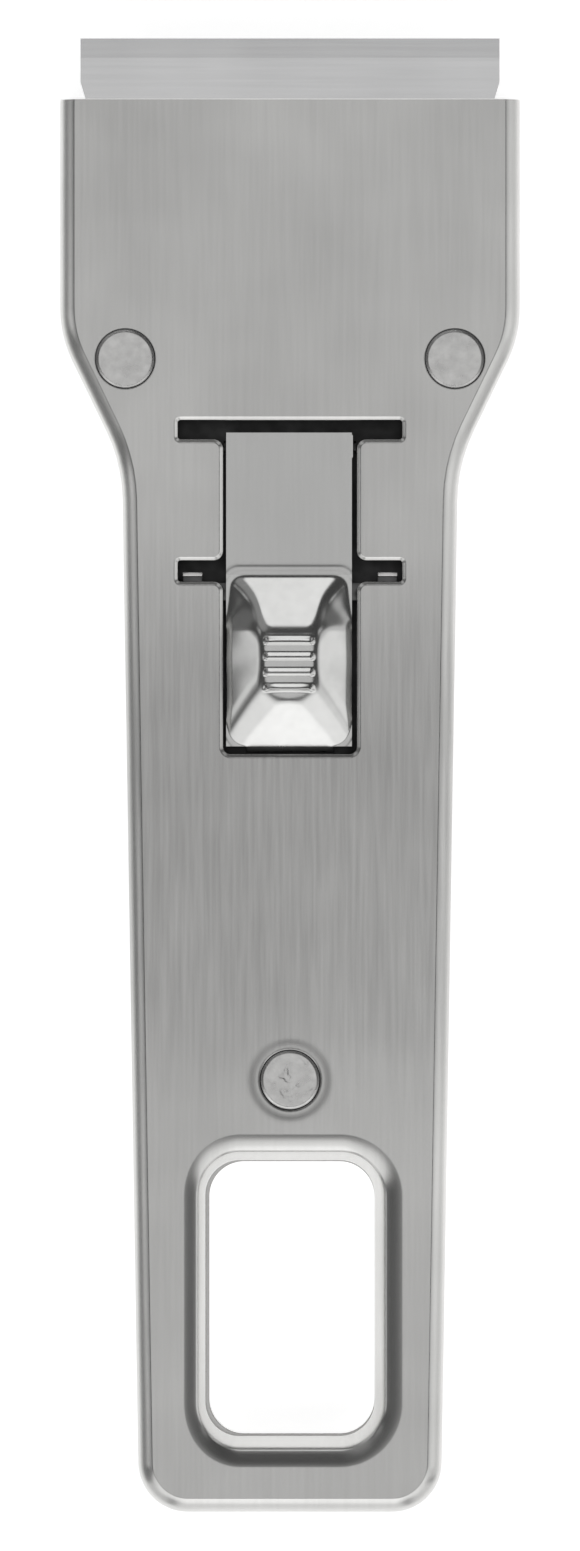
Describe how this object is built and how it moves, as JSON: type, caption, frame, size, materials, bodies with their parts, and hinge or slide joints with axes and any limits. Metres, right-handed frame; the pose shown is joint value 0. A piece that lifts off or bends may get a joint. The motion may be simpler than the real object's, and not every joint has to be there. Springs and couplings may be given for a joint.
{
  "type": "ceramic hob scraper",
  "caption": "All-steel hob scraper: riveted shells with a hanging hole, a wide blade on a latched slide and a ridged thumb bump that frees the slide for blade changes.",
  "frame": {"origin": "middle of the rear face, halfway between the mouth of the head and the end of the handle", "axes": "+Y along the tool towards the blade, +Z out of the front face, +X across to the right seen from the front"},
  "size_m": [0.0472, 0.1512, 0.0087],
  "materials": {
    "shell_steel": "brushed along the length, satin",
    "rivet_steel": "plain turned and hammered flush",
    "blade_steel": "fine ground with a bevelled edge",
    "thumb_steel": "brushed flat with a polished pressed bump",
    "spring_steel": "bright rolled spring steel",
    "inner_steel": "plain rolled sheet"
  },
  "bodies": {
    "housing": {"front_shell": "shell_steel", "rear_shell": "shell_steel", "rivet_head_left": "rivet_steel", "rivet_head_right": "rivet_steel", "rivet_tail": "rivet_steel", "spacer_head_left": "inner_steel", "spacer_head_right": "inner_steel", "spacer_tail": "inner_steel"},
    "slide": {"blade_carrier": "inner_steel", "blade": "blade_steel", "blade_peg_left": "rivet_steel", "blade_peg_right": "rivet_steel", "thumb_pivot_pin": "inner_steel", "latch_spring": "spring_steel", "spring_rivet_left": "inner_steel", "spring_rivet_right": "inner_steel"},
    "thumb": {"thumb_slide": "thumb_steel"}
  },
  "joints": [
    {"name": "blade_slide", "type": "slide", "parent": "housing", "child": "slide", "axis": [0, 1, 0], "range_m": [0, 0.0146], "deforming": ["latch_spring"]},
    {"name": "thumb_press", "type": "hinge", "parent": "slide", "child": "thumb", "pos_m": [0, 0.0369, 0.0042], "axis": [1, 0, 0], "range_deg": [0, 5], "stiffness_Nm_per_rad": 2, "springref_deg": -1.72, "deforming": ["latch_spring"]}
  ]
}
